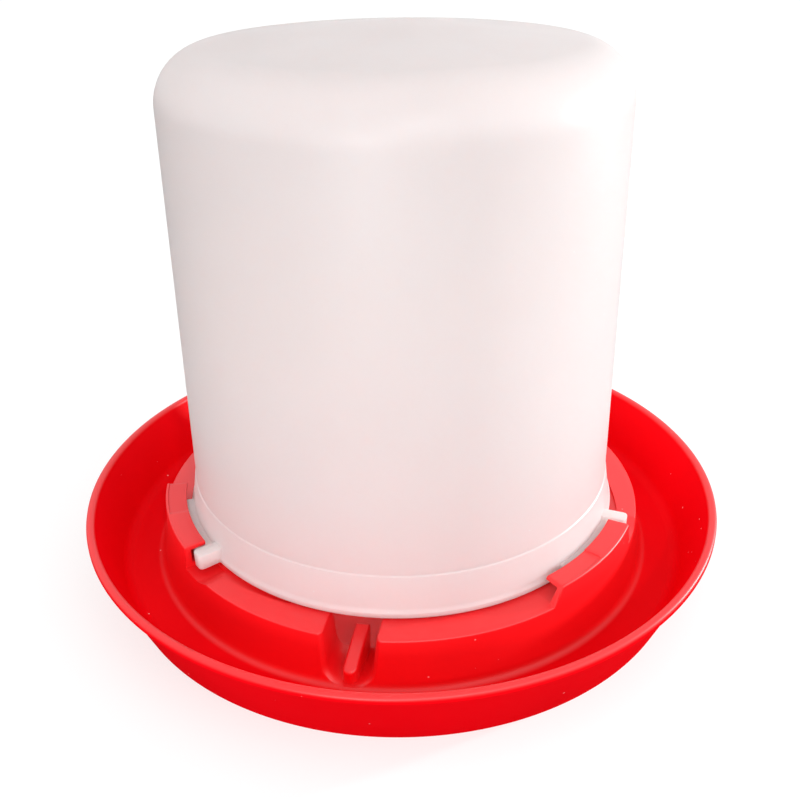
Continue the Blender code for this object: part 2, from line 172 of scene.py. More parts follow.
class WATERER_PG_jar(bpy.types.PropertyGroup):
    """Sizes of the water jar"""
    radius: length("Radius", "Radius of the jar's lip", 0.0950)
    height: length("Height", "Height of the jar", 0.2000)
    wall: length("Wall", "Thickness of the jar's wall", 0.0020)
    lip_width: length("Lip width", "Width of the lip that rests on the ring", 0.0030)
    lip_depth: length("Lip depth", "Height of the lip", 0.0026)
    lip_rounding: length("Lip rounding", "Radius of the lip's lower edge", 0.0011)
    neck_inset: length("Skirt neck", "How far the skirt's foot lies inside the lip", 0.0009)
    top_inset: length("Skirt top", "How far the skirt's top lies inside the lip", 0.0030)
    skirt_height: length("Skirt height", "Height of the flared skirt", 0.0180)
    step: length("Step", "Size of the step over the skirt", 0.0005)
    taper: length("Body taper", "How much the body narrows towards its top", 0.0032)
    shoulder: length("Shoulder", "Radius of the shoulder", 0.0200)
    dome: length("Dome", "Rise of the closed top", 0.0080)
    lug_setback: angle("Lug setback", "How far a lug starts inside its cover", 7.5)
    lug_lift: length("Lug lift", "Gap under a lug", 0.0003)
    lug_top_gap: length("Lug top gap", "Gap over a lug", 0.0004)
    lug_wall_gap: length("Lug wall gap", "Gap between a lug and the cover's wall", 0.0026)
    lug_root: length("Lug root", "How deep a lug starts in the jar", 0.0022)
    finger_gap: angle("Finger gap", "Gap between a cover and its stop finger", 1.2)
    finger_angle: angle("Finger angle", "Width of a stop finger", 3.5)
    finger_reach: length("Finger reach", "How far a finger stands out past its lug", 0.0030)
    finger_drop: length("Finger drop", "How far a finger ends under the cover's top", 0.0006)
    finger_lift: length("Finger lift", "How far a finger starts over the lug's foot", 0.00015)
    finger_rounding: length("Finger rounding", "Radius of a finger's tip", 0.0018)
    seat_gap: length("Seat gap", "Gap between the jar and the ring", 0.0003)
    edge: length("Edge rounding", "Radius of the moulded edges", 0.0003)


class WATERER_PG_finish(bpy.types.PropertyGroup):
    """Colours and finishes of the two plastics"""
    red: colour("Red", "Colour of the base's plastic", (0.86, 0.0012, 0.0060))
    red_deep: colour("Deep red", "Colour of the base's plastic where it is denser",
                     (0.80, 0.0008, 0.0045))
    red_roughness: share("Red roughness", "Roughness of the base's surface", 0.30)
    red_gloss_roughness: share("Red gloss roughness", "Roughness of the polished skin", 0.42)
    red_gloss_index: bpy.props.FloatProperty(
        name="Red gloss index", description="Refractive index of the polished skin", default=1.68,
        min=1.0, max=3.0, subtype="NONE")
    ring_polish: share("Ring polish", "Gloss of the ring and the rim, which the mould polished", 1.0)
    trough_polish: share("Trough polish", "Gloss of the duller trough and outer wall", 0.04)
    speck: colour("Red specks", "Colour of the base's tiny pale specks", (0.95, 0.42, 0.42))
    cloud: colour("Jar specks", "Colour of the jar's tiny denser specks", (0.96, 0.93, 0.92))
    # Painted light: both milky colours are partly the jar's own milky white and partly a painted pink tint
    # that stands for red light bounced up from the base.
    milky: colour("Milky", "Colour of the jar's plastic", (0.95, 0.85, 0.835))
    milky_deep: colour("Deep milky", "Colour of the jar's plastic where it is denser", (0.94, 0.825, 0.805))
    milky_roughness: share("Milky roughness", "Roughness of the jar's surface", 0.34)
    milky_depth: length("Milky depth", "How far light spreads in the jar's plastic", 0.012)
    milky_spread: share("Milky spread", "How much of the light spreads in the plastic", 0.7)
    milky_tint: colour("Milky tint", "How far each colour of light spreads", (1.0, 0.85, 0.80))
    milky_clarity: share("Milky clarity", "How much light passes straight through", 0.32)
    milky_gloss: share("Milky gloss", "Gloss of the jar's surface", 0.28)


class WATERER_PG_stage(bpy.types.PropertyGroup):
    """Camera, floor and lights"""
    lens: bpy.props.FloatProperty(
        name="Lens", description="Focal length of the camera in millimetres", default=42.47,
        min=10.0, max=200.0, unit="CAMERA")
    distance: length("Distance", "Distance from the camera to the point that it aims at", 0.5104)
    elevation: angle("Elevation", "Height of the camera over the horizon", 28.09)
    turn: angle("Turn", "Turn of the camera round the waterer", 11.0)
    roll: angle("Roll", "Roll of the camera", -0.89)
    aim_side: length("Aim sideways", "Sideways place of the point that the camera aims at", 0.0002)
    aim_depth: length("Aim depth", "How far behind the axis that point lies", 0.0811)
    aim_height: length("Aim height", "Height of that point", 0.0270)
    floor_size: length("Floor size", "Side of the floor", 8.0)
    floor: colour("Floor", "Colour of the floor", (0.35, 0.35, 0.35))
    floor_lift: share("Floor lift", "How far the camera sees the floor as white", 0.64)
    sky: share("Sky", "Strength of the even light", 0.95)
    key_turn: angle("Key direction", "Direction that the low key light comes from", 25.0)
    key_height: angle("Key height", "Height of the key light over the horizon", 12.5)
    key_distance: length("Key distance", "Distance of the key light", 1.6)
    key_size: length("Key size", "Side of the key light", 0.12)
    key_power: power("Key power", "Power of the key light", 20.5)
    side_place: stand_off("Side place", "Place of the soft side light", (1.15, -0.75, 0.95))
    side_size: length("Side size", "Side of the side light", 0.9)
    side_power: power("Side power", "Power of the side light", 3.0)
    fill_place: stand_off("Fill place", "Place of the low light in front", (-0.05, -1.25, 0.24))
    fill_size: length("Fill size", "Side of the low light in front", 0.42)
    fill_power: power("Fill power", "Power of the low light in front", 6.0)
    front_place: stand_off("Front place", "Place of the small light in front", (0.45, -0.95, 0.75))
    front_size: length("Front size", "Side of the small light in front", 0.05)
    front_power: power("Front power", "Power of the small light in front", 2.2)
    glow_height: length("Glow height", "Height of the light that stands for what the jar lets in", 0.11)
    glow_size: length("Glow size", "Radius of that light", 0.03)
    glow_power: power("Glow power", "Power of that light", 0.08)


def worked_out(base, jar):
    """Sizes that follow from the settings."""
    fit = SimpleNamespace()
    fit.slope = tan(base.ring_draft)
    fit.ring_radius = jar.radius + base.ring_ledge
    fit.bore = jar.radius - base.ring_seat
    fit.cover_top = base.ring_top + base.cover_rise
    fit.cover_ceiling = fit.cover_top - base.cover_plate
    fit.cover_inner = jar.radius + base.cover_jar_gap
    fit.cover_radius = fit.ring_radius - base.cover_lean
    fit.tunnel = fit.cover_radius - base.cover_wall
    fit.ring_foot = fit.ring_radius + fit.slope * (base.ring_top - base.trough_floor)
    fit.foot = fit.ring_foot + base.trough_width
    fit.rim = fit.foot + base.rim_flare
    fit.rim_neck = base.rim_top - base.rim_bead_depth
    fit.wall_slope = (fit.rim - base.rim_bead_reach - fit.foot) / fit.rim_neck
    fit.underside = base.trough_floor - base.wall
    fit.notch_floor = base.trough_floor + base.notch_sill
    fit.covers = [degrees(base.cover_start) + turn for turn in COVER_TURNS]
    fit.half_span = degrees(base.cover_span) / 2.0
    fit.neck = jar.radius - jar.neck_inset
    fit.skirt_top = jar.radius - jar.top_inset
    fit.body_top = fit.skirt_top - jar.taper
    fit.jar_bottom = base.ring_top + jar.seat_gap
    fit.jar_top = fit.jar_bottom + jar.height
    fit.step = fit.jar_bottom + jar.skirt_height
    fit.lug_bottom = fit.jar_bottom + jar.lug_lift
    fit.lug_top = fit.cover_ceiling - jar.lug_top_gap
    fit.lug_radius = fit.tunnel - jar.lug_wall_gap
    fit.lug_root = jar.radius - jar.lug_root
    return fit


def add_section(shape, corners):
    """Add a flat face over (across, height, rounding) corners in the XZ plane, its corners rounded."""
    verts = [shape.verts.new((across, 0.0, height)) for across, height, rounding in corners]
    shape.faces.new(verts)
    for index, (across, height, rounding) in enumerate(corners):
        if rounding <= 0.0:
            continue
        here = Vector((across, height))
        before = Vector(corners[index - 1][:2]) - here
        after = Vector(corners[(index + 1) % len(corners)][:2]) - here
        steps = max(LEAST_FILLET_STEPS, min(MOST_FILLET_STEPS, ceil(rounding / FILLET_FACET)))
        bmesh.ops.bevel(shape, geom=[verts[index]], offset=rounding / tan(before.angle(after) / 2.0),
                        offset_type="OFFSET", affect="VERTICES", segments=steps, profile=0.5,
                        material=-1, clamp_overlap=False)


def turned(corners):
    """Spin rounded corners of (radius, height, rounding) all round the axis."""
    shape = bmesh.new()
    add_section(shape, corners)
    bmesh.ops.delete(shape, geom=shape.faces[:], context="FACES_ONLY")
    on_axis = [edge for edge in shape.edges if all(hypot(*vert.co.xy) < MERGE for vert in edge.verts)]
    bmesh.ops.delete(shape, geom=on_axis, context="EDGES")
    bmesh.ops.spin(shape, geom=shape.verts[:] + shape.edges[:], cent=(0, 0, 0), axis=(0, 0, 1),
                   angle=radians(360), steps=TURN_STEPS, use_merge=True)
    return shape


def sector(corners, start, end, steps=None):
    """Spin rounded corners of (radius, height, rounding) from one direction to another, in degrees."""
    shape = bmesh.new()
    add_section(shape, corners)
    bmesh.ops.rotate(shape, verts=shape.verts, cent=(0, 0, 0),
                     matrix=Matrix.Rotation(radians(start), 3, "Z"))
    bmesh.ops.spin(shape, geom=shape.verts[:] + shape.edges[:] + shape.faces[:], cent=(0, 0, 0),
                   axis=(0, 0, 1), angle=radians(end - start), steps=steps or max(2, ceil(end - start)))
    bmesh.ops.holes_fill(shape, edges=[edge for edge in shape.edges if edge.is_boundary], sides=0)
    return shape


def past(point, start):
    """How far round the axis a point lies past a direction, in degrees."""
    return (degrees(atan2(point.y, point.x)) - start + SLACK) % 360.0 - SLACK


def finished(name, shape):
    """Make an object from a bmesh, closed and with its faces outwards."""
    bmesh.ops.remove_doubles(shape, verts=shape.verts, dist=MERGE)
    bmesh.ops.recalc_face_normals(shape, faces=shape.faces)
    mesh = bpy.data.meshes.new(name)
    shape.to_mesh(mesh)
    shape.free()
    made = bpy.data.objects.new(name, mesh)
    bpy.context.scene.collection.objects.link(made)
    return made


def settle(piece):
    """Turn a piece's modifiers into its mesh."""
    graph = bpy.context.evaluated_depsgraph_get()
    baked = bpy.data.meshes.new_from_object(piece.evaluated_get(graph), depsgraph=graph)
    piece.modifiers.clear()
    rough = piece.data
    piece.data = baked
    baked.name = piece.name
    bpy.data.meshes.remove(rough)


def combine(piece, tools, operation):
    """Cut tools from a piece or join them to it, one after another, and remove them."""
    for tool in tools:
        modifier = piece.modifiers.new(tool.name, "BOOLEAN")
        modifier.operation = operation
        modifier.solver = "EXACT"
        modifier.object = tool
        settle(piece)
        spent = tool.data
        bpy.data.objects.remove(tool)
        bpy.data.meshes.remove(spent)


def ease_edges(piece, width):
    """Round the moulded edges of a piece."""
    shape = bmesh.new()
    shape.from_mesh(piece.data)
    bmesh.ops.remove_doubles(shape, verts=shape.verts, dist=WELD)
    bmesh.ops.dissolve_degenerate(shape, edges=shape.edges, dist=WELD)
    shape.to_mesh(piece.data)
    shape.free()
    modifier = piece.modifiers.new("moulded_edges", "BEVEL")
    modifier.width = width
    modifier.segments = EDGE_STEPS
    modifier.profile = 0.5
    modifier.limit_method = "ANGLE"
    modifier.angle_limit = SMOOTHING
    modifier.use_clamp_overlap = False
    modifier.harden_normals = False
    settle(piece)


def smooth(piece):
    """Shade the turned surfaces smooth and keep the sharp edges."""
    piece.data.shade_smooth()
    piece.data.set_sharp_from_angle(angle=SMOOTHING)


def base_body(base, fit):
    """Half section of the base, with its ring still solid and as high as the covers."""
    def wall_at(height):
        return fit.foot + fit.wall_slope * height

    return turned([
        (0.0, base.trough_floor + base.platform_rise, 0.0),
        (fit.bore, base.trough_floor, base.platform_fillet),
        (fit.bore, fit.cover_top, 0.0),
        (fit.cover_radius, fit.cover_top, base.cover_rounding),
        (fit.ring_radius + fit.slope * base.cover_foot_drop, base.ring_top - base.cover_foot_drop, 0.0),
        (fit.ring_foot, base.trough_floor, base.inner_fillet),
        (wall_at(base.trough_floor) - base.wall, base.trough_floor, base.outer_fillet),
        (wall_at(base.rim_top) - base.wall, base.rim_top, base.rim_rounding),
        (fit.rim, base.rim_top, base.rim_rounding),
        (fit.rim, fit.rim_neck, base.rim_rounding / 2.0),
        (wall_at(fit.rim_neck), fit.rim_neck, base.rim_rounding / 4.0),
        (fit.foot, 0.0, 0.0),
        (fit.foot - base.wall, 0.0, 0.0),
        (wall_at(fit.underside) - base.wall, fit.underside, 0.0),
        (fit.bore, fit.underside, 0.0),
        (0.0, fit.underside + base.platform_rise, 0.0),
    ])


def ring_tools(base, fit):
    """Cutters that bring the ring down between the covers and open the tunnels under them."""
    over = fit.cover_top + OVERSHOOT
    tunnel = turned([
        (fit.bore - OVERSHOOT, base.ring_top, 0.0),
        (fit.tunnel, base.ring_top, 0.0),
        (fit.tunnel, fit.cover_ceiling, base.cover_rounding / 2.0),
        (fit.cover_inner, fit.cover_ceiling, 0.0),
        (fit.cover_inner, over, 0.0),
        (fit.bore - OVERSHOOT, over, 0.0),
    ])
    tools = [finished("tunnel", tunnel)]
    for direction in fit.covers:
        gap = sector([
            (fit.cover_inner - OVERSHOOT / 4.0, fit.cover_ceiling - OVERSHOOT / 8.0, 0.0),
            (fit.tunnel - OVERSHOOT / 4.0, fit.cover_ceiling - OVERSHOOT / 8.0, 0.0),
            (fit.tunnel - OVERSHOOT / 4.0, base.ring_top, 0.0),
            (fit.ring_radius, base.ring_top, base.ring_edge),
            (fit.ring_radius + fit.slope * base.cover_foot_drop, base.ring_top - base.cover_foot_drop, 0.0),
            (fit.ring_radius + OVERSHOOT, base.ring_top - base.cover_foot_drop, 0.0),
            (fit.ring_radius + OVERSHOOT, over, 0.0),
            (fit.cover_inner - OVERSHOOT / 4.0, over, 0.0),
        ], direction + fit.half_span, direction + 120.0 - fit.half_span)
        tools.append(finished("gap_between_covers", gap))
        start = direction - fit.half_span
        panel = sector([
            (fit.cover_inner - base.panel_border, fit.cover_top - base.panel_depth, 0.0),
            (fit.cover_radius - base.panel_border, fit.cover_top - base.panel_depth, 0.0),
            (fit.cover_radius - base.panel_border, over, 0.0),
            (fit.cover_inner - base.panel_border, over, 0.0),
        ], start - SLACK, start + 2.0 * fit.half_span * base.panel_share)
        tools.append(finished("cover_panel", panel))
    return tools


def lean_cover_ends(piece, base, fit):
    """Set back the top of each cover's open end and bring its foot forward."""
    shape = bmesh.new()
    shape.from_mesh(piece.data)
    for direction in fit.covers:
        bearing = radians(direction - fit.half_span)
        end = Vector((cos(bearing), sin(bearing)))
        for vert in shape.verts:
            if vert.co.xy.length < fit.bore or vert.co.xy.length > fit.ring_foot:
                continue
            near = 1.0 - vert.co.xy.angle(end) / LEAN_FADE
            if near <= 0.0:
                continue
            rise = (vert.co.z - base.ring_top) / (base.cover_rise / 2.0)
            lean = rise - 1.0 if rise >= 0.0 else -max(0.0, 1.0 + rise)
            vert.co = Matrix.Rotation(base.cover_end_lean * lean * near, 3, "Z") @ vert.co
    shape.to_mesh(piece.data)
    shape.free()


def entry_tools(base, jar, fit):
    """Cutters for the slot, the ramp and the fading strip beside each cover."""
    tools = []
    low = base.ring_top - base.slot_depth
    over = base.ring_top + OVERSHOOT
    floor_end, ramp = degrees(base.slot_angle), degrees(base.ramp_angle)
    for direction in fit.covers:
        start = direction + fit.half_span
        sweep = floor_end + ramp * (1.0 + OVERSHOOT / base.slot_depth)
        slot = sector([(jar.radius, low, 0.0), (fit.ring_radius + OVERSHOOT, low, 0.0),
                       (fit.ring_radius + OVERSHOOT, over, 0.0), (jar.radius, over, 0.0)],
                      start, start + sweep, steps=round(sweep))
        for vert in slot.verts:
            along = past(vert.co, start) - floor_end
            if along > 0.0 and vert.co.z < base.ring_top:
                vert.co.z = min(over, low + along / ramp * base.slot_depth)
        bmesh.ops.triangulate(slot, faces=slot.faces)
        tools.append(finished("entry_slot", slot))
        first, last = start + floor_end / 2.0, start + degrees(base.strip_angle)
        inner = jar.radius - jar.lip_width / 2.0
        strip = sector([(inner, base.ring_top - base.strip_depth, 0.0),
                        (jar.radius + base.strip_width, base.ring_top - base.strip_depth, 0.0),
                        (jar.radius + base.strip_width, over, 0.0), (inner, over, 0.0)], first, last)
        for vert in strip.verts:
            if hypot(*vert.co.xy) > jar.radius:
                gone = past(vert.co, first) / (last - first)
                keep = (jar.radius + base.strip_width * (1.0 - gone)) / hypot(*vert.co.xy)
                vert.co.xy *= keep
        tools.append(finished("entry_strip", strip))
    return tools


def hollow_tool(base, fit):
    """Cutter for the space under the ring, with solid material left round the notch."""
    inner = fit.bore + base.wall
    top = base.ring_top - base.ring_land
    outer_top = fit.ring_radius + fit.slope * base.ring_land - base.wall
    outer_low = outer_top + fit.slope * (top + OVERSHOOT)
    half = degrees(atan2(base.notch_top_width / 2.0 + base.wall, fit.bore))
    return finished("ring_hollow", sector([
        (inner, top, 0.0), (outer_top, top, 0.0), (outer_low, -OVERSHOOT, 0.0), (inner, -OVERSHOOT, 0.0),
    ], NOTCH_DIRECTION + half, NOTCH_DIRECTION + 360.0 - half))


def notch_tool(base, fit):
    """Cutter for the water notch: its section grows outwards and spreads at the ring's outer edge."""
    over = fit.cover_top + OVERSHOOT
    half_floor, half_top = base.notch_floor_width / 2.0, base.notch_top_width / 2.0
    aside = half_top + OVERSHOOT
    lip = base.ring_top + WELD
    shape = bmesh.new()
    add_section(shape, [
        (-half_floor, fit.notch_floor, base.notch_fillet), (half_floor, fit.notch_floor, base.notch_fillet),
        (half_top, lip, base.notch_lip), (aside, lip, 0.0), (aside, over, 0.0),
        (-aside, over, 0.0), (-aside, lip, 0.0), (-half_top, lip, base.notch_lip),
    ])
    back = -(fit.bore - OVERSHOOT)
    bmesh.ops.translate(shape, verts=shape.verts, vec=(0, back, 0))
    bends = [radians(90) * step / FLARE_STEPS for step in range(FLARE_STEPS + 1)]
    ends = shape.faces[:]
    for step, bend in enumerate(bends + [None]):
        grown = bmesh.ops.extrude_face_region(shape, geom=ends)["geom"]
        if step:
            bmesh.ops.delete(shape, geom=ends, context="FACES_ONLY")
        ends = [item for item in grown if isinstance(item, bmesh.types.BMFace)]
        verts = [item for item in grown if isinstance(item, bmesh.types.BMVert)]
        for vert in verts:
            wall = fit.ring_radius + fit.slope * (base.ring_top - min(vert.co.z, base.ring_top))
            if bend is None:
                vert.co.y = -(fit.ring_foot + base.inner_fillet)
                continue
            vert.co.y = -(wall - base.notch_flare + base.notch_flare * sin(bend))
            before = bends[step - 1] if step else 0.0
            spread = base.notch_flare * (cos(before) - cos(bend))
            vert.co.x += spread * max(-1.0, min(1.0, vert.co.x / half_floor))
    bmesh.ops.triangulate(shape, faces=[face for face in shape.faces if len(face.verts) == 4])
    return finished("water_notch", shape)


def rib_tool(base, fit):
    """Sloping rib that stands in the notch, rounded along its top and at its outer end."""
    inner = fit.bore - base.wall / 2.0
    outer = fit.ring_foot + base.rib_reach
    half = base.rib_width / 2.0
    shape = bmesh.new()
    low = base.trough_floor - base.wall / 2.0
    add_section(shape, [(base.rib_offset - half, -outer, half * RIB_END_SHARE),
                        (base.rib_offset + half, -outer, half * RIB_END_SHARE),
                        (base.rib_offset + half, -inner, 0.0), (base.rib_offset - half, -inner, 0.0)])
    for vert in shape.verts:
        vert.co = (vert.co.x, vert.co.z, low)
    grown = bmesh.ops.extrude_face_region(shape, geom=shape.faces[:])["geom"]
    fall = (base.rib_outer_drop - base.rib_inner_drop) / (outer - inner)
    tops = [item for item in grown if isinstance(item, bmesh.types.BMVert)]
    for vert in tops:
        vert.co.z = base.ring_top - base.rib_inner_drop - fall * (-vert.co.y - inner)
    for vert in shape.verts:
        vert.co.x -= base.rib_lean * (-vert.co.y - inner) / (outer - inner)
    rim = [edge for edge in shape.edges if all(vert in tops for vert in edge.verts)]
    bmesh.ops.recalc_face_normals(shape, faces=shape.faces)
    bmesh.ops.bevel(shape, geom=rim, offset=base.rib_rounding, offset_type="OFFSET", affect="EDGES",
                    segments=RIB_STEPS, profile=0.5, material=-1, clamp_overlap=False)
    return finished("notch_rib", shape)


def jar_body(jar, fit):
    """Half section of the jar: domed top, tapered body, step, flared skirt and rounded lip."""
    lip_top = fit.jar_bottom + jar.lip_depth
    inner_step = fit.step - jar.step
    return turned([
        (0.0, fit.jar_top, 0.0),
        (fit.body_top, fit.jar_top - jar.dome, jar.shoulder),
        (fit.skirt_top - jar.step, fit.step, jar.step),
        (fit.skirt_top, fit.step - jar.step, jar.step / 2.0),
        (fit.neck, lip_top + jar.lip_depth / 2.0, jar.lip_depth),
        (jar.radius, lip_top, jar.lip_rounding / 2.0),
        (jar.radius, fit.jar_bottom, jar.lip_rounding),
        (jar.radius - jar.lip_width, fit.jar_bottom, 0.0),
        (fit.neck - jar.wall, lip_top + jar.lip_depth / 2.0, 0.0),
        (fit.skirt_top - jar.wall, inner_step - jar.step, 0.0),
        (fit.skirt_top - jar.step - jar.wall, inner_step, 0.0),
        (fit.body_top - jar.wall, fit.jar_top - jar.dome - jar.wall, jar.shoulder - jar.wall),
        (0.0, fit.jar_top - jar.wall, 0.0),
    ])


def lug_tools(jar, fit):
    """Lugs that lie under the covers, each with its upright stop finger."""
    tools = []
    for direction in fit.covers:
        start = direction - fit.half_span + degrees(jar.lug_setback)
        finger_start = direction + fit.half_span + degrees(jar.finger_gap)
        finger_end = finger_start + degrees(jar.finger_angle)
        lug = sector([(fit.lug_root, fit.lug_bottom, 0.0), (fit.lug_radius, fit.lug_bottom, 0.0),
                      (fit.lug_radius, fit.lug_top, jar.edge), (fit.lug_root, fit.lug_top, 0.0)],
                     start, (finger_start + finger_end) / 2.0)
        tools.append(finished("lug", lug))
        tip = fit.lug_radius + jar.finger_reach
        half = radians(finger_end - finger_start) / 2.0
        finger = bmesh.new()
        add_section(finger, [(fit.lug_root * cos(half), -fit.lug_root * sin(half), 0.0),
                             (tip * cos(half), -tip * sin(half), jar.finger_rounding),
                             (tip * cos(half), tip * sin(half), jar.finger_rounding),
                             (fit.lug_root * cos(half), fit.lug_root * sin(half), 0.0)])
        low = fit.lug_bottom + jar.finger_lift
        for vert in finger.verts:
            vert.co = (vert.co.x, vert.co.z, low)
        grown = bmesh.ops.extrude_face_region(finger, geom=finger.faces[:])["geom"]
        tops = [item for item in grown if isinstance(item, bmesh.types.BMVert)]
        for vert in tops:
            vert.co.z = fit.cover_top - jar.finger_drop
        bmesh.ops.rotate(finger, verts=finger.verts, cent=(0, 0, 0),
                         matrix=Matrix.Rotation(radians(finger_start + finger_end) / 2.0, 3, "Z"))
        tools.append(finished("finger", finger))
    return tools


def new_group(name, inputs, outputs):
    """Start a shader node group with named sockets, given as (name, kind, default)."""
    group = bpy.data.node_groups.new(name, "ShaderNodeTree")
    for label, kind, default in inputs:
        group.interface.new_socket(name=label, in_out="INPUT", socket_type=kind).default_value = default
    for label, kind in outputs:
        group.interface.new_socket(name=label, in_out="OUTPUT", socket_type=kind)
    return group, group.nodes.new("NodeGroupInput"), group.nodes.new("NodeGroupOutput")


def moulded_surface():
    """Group for moulded plastic: drifting density, polish that varies, and a fine skin."""
    group, given, out = new_group("moulded_surface", [
        ("Pale", "NodeSocketColor", (0.8, 0.8, 0.8, 1.0)),
        ("Deep", "NodeSocketColor", (0.7, 0.7, 0.7, 1.0)),
        ("Polish", "NodeSocketFloat", 0.3),
        ("Polish Range", "NodeSocketFloat", 0.1),
        ("Drift Scale", "NodeSocketFloat", 20.0),
        ("Skin Scale", "NodeSocketFloat", 900.0),
    ], [("Colour", "NodeSocketColor"), ("Roughness", "NodeSocketFloat"), ("Height", "NodeSocketFloat")])
    nodes, links = group.nodes, group.links
    place = nodes.new("ShaderNodeTexCoord")

    def noise(scale_socket, detail, roughness):
        node = nodes.new("ShaderNodeTexNoise")
        node.inputs["Detail"].default_value = detail
        node.inputs["Roughness"].default_value = roughness
        links.new(place.outputs["Object"], node.inputs["Vector"])
        links.new(scale_socket, node.inputs["Scale"])
        return node.outputs["Fac"]

    drift = noise(given.outputs["Drift Scale"], 3.0, 0.5)
    skin = noise(given.outputs["Skin Scale"], 2.0, 0.6)
    blend = nodes.new("ShaderNodeMix")
    blend.data_type = "RGBA"
    spread = nodes.new("ShaderNodeMapRange")
    spread.interpolation_type = "SMOOTHSTEP"
    spread.inputs["From Min"].default_value = 0.25
    spread.inputs["From Max"].default_value = 0.75
    links.new(drift, spread.inputs["Value"])
    links.new(spread.outputs["Result"], blend.inputs["Factor"])
    links.new(given.outputs["Pale"], blend.inputs["A"])
    links.new(given.outputs["Deep"], blend.inputs["B"])
    links.new(blend.outputs["Result"], out.inputs["Colour"])
    rub = nodes.new("ShaderNodeMath")
    rub.operation = "MULTIPLY_ADD"
    links.new(spread.outputs["Result"], rub.inputs[0])
    links.new(given.outputs["Polish Range"], rub.inputs[1])
    links.new(given.outputs["Polish"], rub.inputs[2])
    links.new(rub.outputs[0], out.inputs["Roughness"])
    links.new(skin, out.inputs["Height"])
    return group


def moulding_specks():
    """Group for tiny pale specks: the crumbs and pinholes that moulding and use leave."""
    group, given, out = new_group("moulding_specks", [
        ("Colour", "NodeSocketColor", (0.8, 0.8, 0.8, 1.0)),
        ("Speck", "NodeSocketColor", (0.9, 0.9, 0.9, 1.0)),
        ("Scale", "NodeSocketFloat", 240.0),
        ("Size", "NodeSocketFloat", 0.10),
        ("Share", "NodeSocketFloat", 0.2),
        ("Strength", "NodeSocketFloat", 0.7),
    ], [("Colour", "NodeSocketColor"), ("Mask", "NodeSocketFloat")])
    nodes, links = group.nodes, group.links
    place = nodes.new("ShaderNodeTexCoord")
    cells = nodes.new("ShaderNodeTexVoronoi")
    links.new(place.outputs["Object"], cells.inputs["Vector"])
    links.new(given.outputs["Scale"], cells.inputs["Scale"])
    pick = nodes.new("ShaderNodeSeparateColor")
    links.new(cells.outputs["Color"], pick.inputs["Color"])
    chosen = nodes.new("ShaderNodeMath")
    chosen.operation = "LESS_THAN"
    links.new(pick.outputs["Red"], chosen.inputs[0])
    links.new(given.outputs["Share"], chosen.inputs[1])
    spread = nodes.new("ShaderNodeMath")
    spread.operation = "MULTIPLY"
    links.new(pick.outputs["Green"], spread.inputs[0])
    links.new(given.outputs["Size"], spread.inputs[1])
    near = nodes.new("ShaderNodeMath")
    near.operation = "LESS_THAN"
    links.new(cells.outputs["Distance"], near.inputs[0])
    links.new(spread.outputs[0], near.inputs[1])
    mask = nodes.new("ShaderNodeMath")
    mask.operation = "MULTIPLY"
    links.new(chosen.outputs[0], mask.inputs[0])
    links.new(near.outputs[0], mask.inputs[1])
    weight = nodes.new("ShaderNodeMath")
    weight.operation = "MULTIPLY"
    links.new(mask.outputs[0], weight.inputs[0])
    links.new(given.outputs["Strength"], weight.inputs[1])
    blend = nodes.new("ShaderNodeMix")
    blend.data_type = "RGBA"
    links.new(weight.outputs[0], blend.inputs["Factor"])
    links.new(given.outputs["Colour"], blend.inputs["A"])
    links.new(given.outputs["Speck"], blend.inputs["B"])
    links.new(blend.outputs["Result"], out.inputs["Colour"])
    links.new(mask.outputs[0], out.inputs["Mask"])
    return group


def plastic(name, pale, deep, speck, polish, polish_range, drift, skin, bump, speck_share):
    """Principled material that wears the moulded surface group and its specks."""
    material = bpy.data.materials.new(name)
    material.use_nodes = True
    nodes, links = material.node_tree.nodes, material.node_tree.links
    shader = nodes["Principled BSDF"]
    surface = nodes.new("ShaderNodeGroup")
    surface.node_tree = bpy.data.node_groups.get("moulded_surface") or moulded_surface()
    surface.inputs["Pale"].default_value = (*pale, 1.0)
    surface.inputs["Deep"].default_value = (*deep, 1.0)
    surface.inputs["Polish"].default_value = polish
    surface.inputs["Polish Range"].default_value = polish_range
    surface.inputs["Drift Scale"].default_value = drift
    surface.inputs["Skin Scale"].default_value = skin
    crumbs = nodes.new("ShaderNodeGroup")
    crumbs.node_tree = bpy.data.node_groups.get("moulding_specks") or moulding_specks()
    crumbs.inputs["Speck"].default_value = (*speck, 1.0)
    crumbs.inputs["Share"].default_value = speck_share
    links.new(surface.outputs["Colour"], crumbs.inputs["Colour"])
    links.new(crumbs.outputs["Colour"], shader.inputs["Base Color"])
    links.new(surface.outputs["Roughness"], shader.inputs["Roughness"])
    relief = nodes.new("ShaderNodeBump")
    relief.inputs["Strength"].default_value = bump
    relief.inputs["Distance"].default_value = SKIN_DEPTH
    links.new(surface.outputs["Height"], relief.inputs["Height"])
    links.new(relief.outputs["Normal"], shader.inputs["Normal"])
    return material, shader


